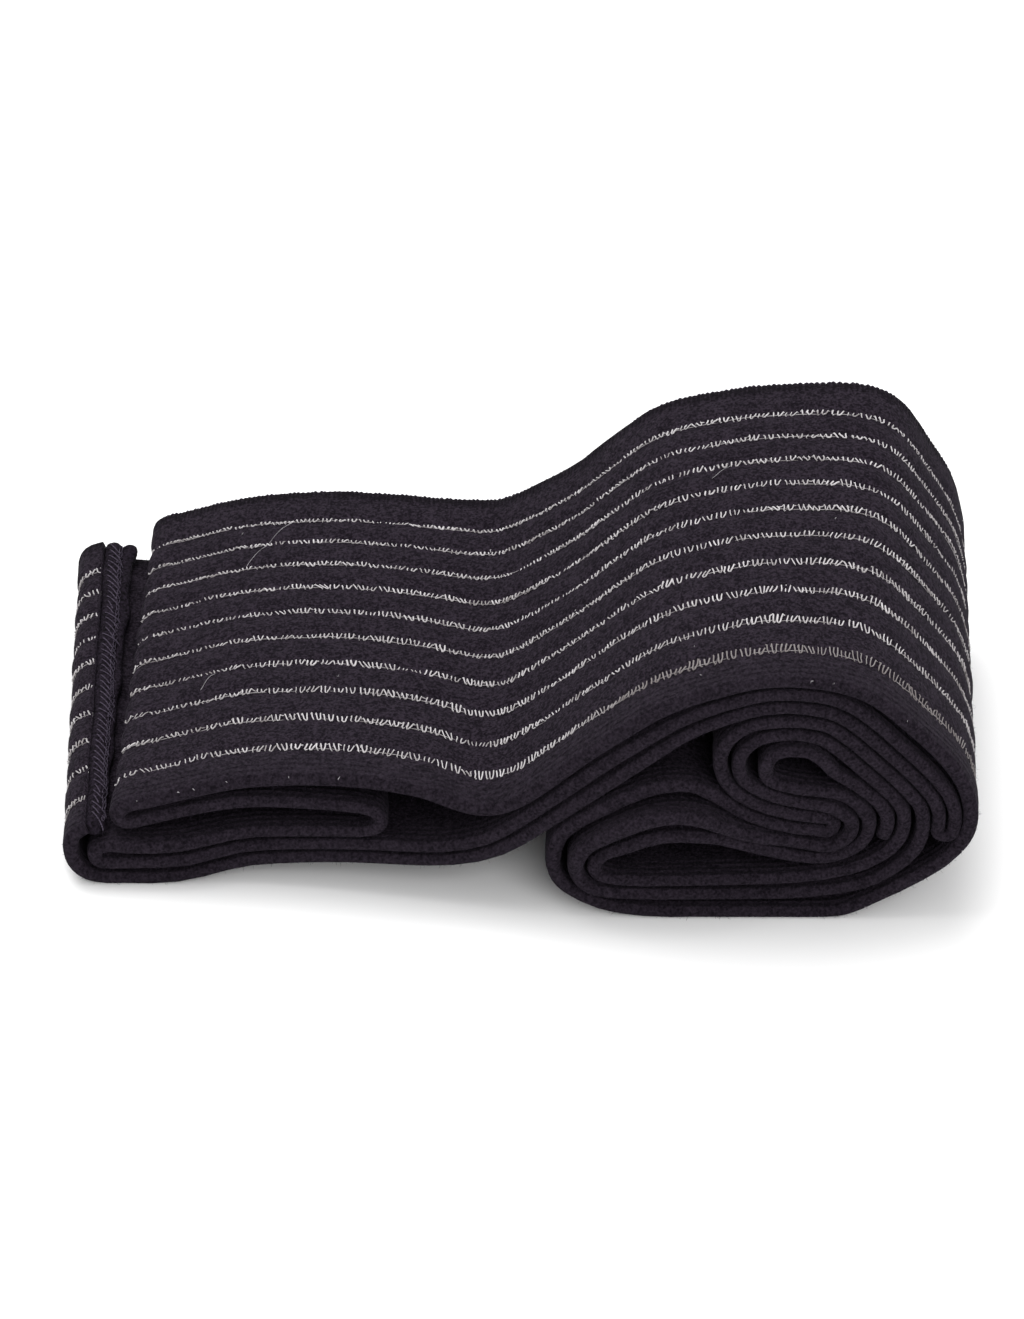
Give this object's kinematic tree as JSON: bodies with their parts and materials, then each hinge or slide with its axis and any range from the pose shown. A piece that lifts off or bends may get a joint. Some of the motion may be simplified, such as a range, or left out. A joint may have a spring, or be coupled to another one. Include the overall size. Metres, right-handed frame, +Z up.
{
  "type": "folded compression wrap",
  "caption": "Long knitted elastic compression wrap with lengthwise stripes, lying part coiled and part folded flat, with an overlocked end.",
  "frame": {"origin": "middle of the folded wrap's footprint, on the surface that it lies on", "axes": "+Z up, +X along the folded wrap from the flat stack to the coil, +Y across the band from its front edge to its back edge"},
  "size_m": [0.143, 0.088, 0.0487],
  "materials": {
    "fleecy_knit": "soft brushed charcoal knit",
    "hem_binding": "overlocked edge in charcoal thread",
    "stripe_yarn": "matt white zigzag yarn"
  },
  "bodies": {
    "root": {"elastic_band": "fleecy_knit", "end_hem": "hem_binding"}
  },
  "joints": []
}
